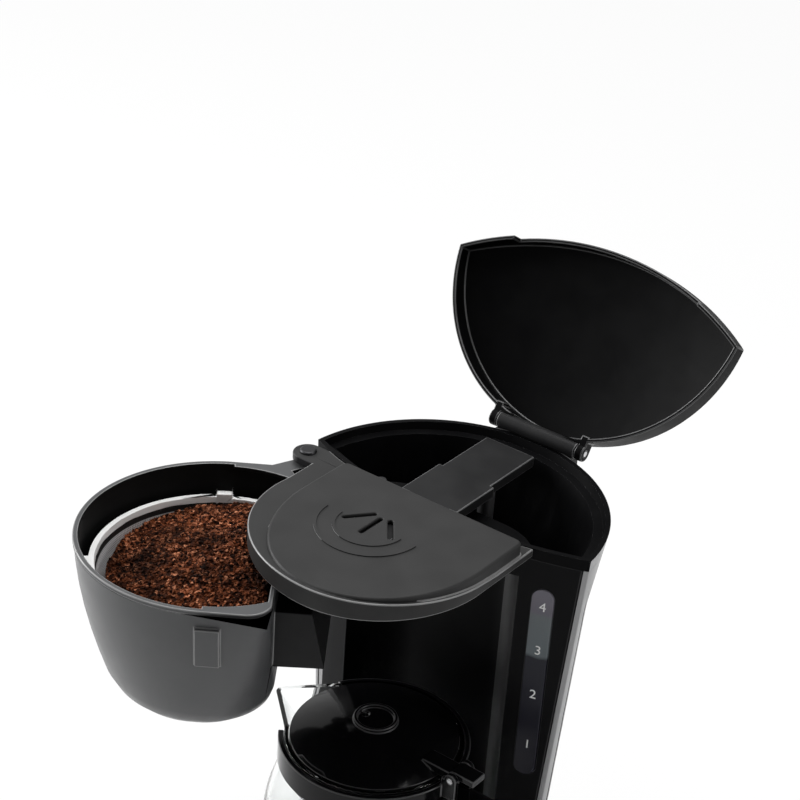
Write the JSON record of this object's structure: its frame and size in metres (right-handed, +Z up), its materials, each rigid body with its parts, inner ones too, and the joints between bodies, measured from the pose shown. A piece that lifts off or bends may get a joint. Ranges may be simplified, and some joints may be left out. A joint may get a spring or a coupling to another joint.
{
  "type": "drip coffee maker",
  "caption": "Drip coffee maker with a hinged tank lid, swing-out filter basket with drip valve, and a glass carafe on a warming plate.",
  "frame": {"origin": "On the table, below the middle of the whole machine's outer box in the pictured pose.", "axes": "+X to the machine's right as seen from its front, +Y to its rear, +Z up."},
  "size_m": [0.2278, 0.3148, 0.3212],
  "materials": {
    "silver_shell": "satin silver paint",
    "dark_panel": "fine satin texture",
    "black_plastic": "satin",
    "charcoal_plastic": "satin",
    "black_gloss": "gloss",
    "window_plastic": "smoke tinted, clear",
    "white_plastic": "satin",
    "cream_plastic": "matte",
    "amber_lens": "clear tinted",
    "grey_mesh": "fine woven nylon",
    "black_rubber": "matte",
    "hose_rubber": "matte, milky",
    "plate_steel": "non-stick coating",
    "steel": "bright",
    "aluminium": "drawn",
    "fuse_ceramic": "glazed",
    "clear_glass": "clear"
  },
  "bodies": {
    "machine": {"rear_shell": "silver_shell", "front_panel": "dark_panel", "reservoir_tank": "black_plastic", "water_window": "window_plastic", "window_seal": "black_rubber", "water_duct": "black_plastic", "head_cover": "charcoal_plastic", "head_floor": "black_plastic", "spray_plate": "black_plastic", "mount_screws": "steel", "swing_bracket": "charcoal_plastic", "swing_pin": "steel", "lid_bracket": "black_plastic", "lid_pin": "steel", "base_housing": "black_plastic", "bottom_cover": "black_plastic", "feet": "black_rubber", "bottom_screws": "steel", "switch_bezel": "black_gloss", "pilot_lens": "amber_lens", "cord_gland": "black_rubber", "terminal_block": "cream_plastic", "hot_plate": "plate_steel", "plate_seal": "black_rubber", "heater_tube": "aluminium", "heater_clamp": "steel", "clamp_screw": "steel", "thermostat": "steel", "thermal_fuse": "fuse_ceramic", "inlet_hose": "hose_rubber", "outlet_hose": "hose_rubber", "hose_clips": "steel", "check_valve": "cream_plastic", "riser_tube": "aluminium", "riser_seal": "hose_rubber"},
    "lid": {"lid_shell": "black_plastic"},
    "basket": {"basket_bowl": "charcoal_plastic", "filter_ring": "white_plastic", "filter_mesh": "grey_mesh", "valve_cage": "black_plastic", "valve_spring": "steel"},
    "drip_valve": {"valve_stem": "white_plastic", "valve_seal": "hose_rubber"},
    "carafe": {"carafe_glass": "clear_glass", "carafe_collar": "black_gloss", "carafe_handle": "black_gloss", "band_screw": "steel", "carafe_lid_pin": "steel"},
    "carafe_lid": {"carafe_lid": "black_gloss"},
    "switch": {"switch_rocker": "black_gloss"}
  },
  "joints": [
    {"name": "lid_hinge", "type": "hinge", "parent": "machine", "child": "lid", "pos_m": [0.02586, 0.08664, 0.235], "axis": [-1, 0, 0], "range_deg": [-122, 0]},
    {"name": "basket_swing", "type": "hinge", "parent": "machine", "child": "basket", "pos_m": [-0.05514, -0.00636, 0.2], "axis": [0, 0, 1], "range_deg": [-35, 55.5]},
    {"name": "drip_valve_lift", "type": "slide", "parent": "basket", "child": "drip_valve", "axis": [0, 0, 1], "range_m": [0, 0.004], "stiffness_N_per_m": 150, "springref_m": -0.003, "deforming": ["valve_spring"]},
    {"name": "carafe_slide", "type": "slide", "parent": "machine", "child": "carafe", "axis": [0, -1, 0], "range_m": [0, 0.15]},
    {"name": "carafe_lid_hinge", "type": "hinge", "parent": "carafe", "child": "carafe_lid", "pos_m": [0.07937, -0.04336, 0.1154], "axis": [0, 1, 0], "range_deg": [0, 75]},
    {"name": "switch_rock", "type": "hinge", "parent": "machine", "child": "switch", "pos_m": [0.02586, -0.10116, 0.015], "axis": [0, 0, 1], "range_deg": [-14, 0]}
  ]
}
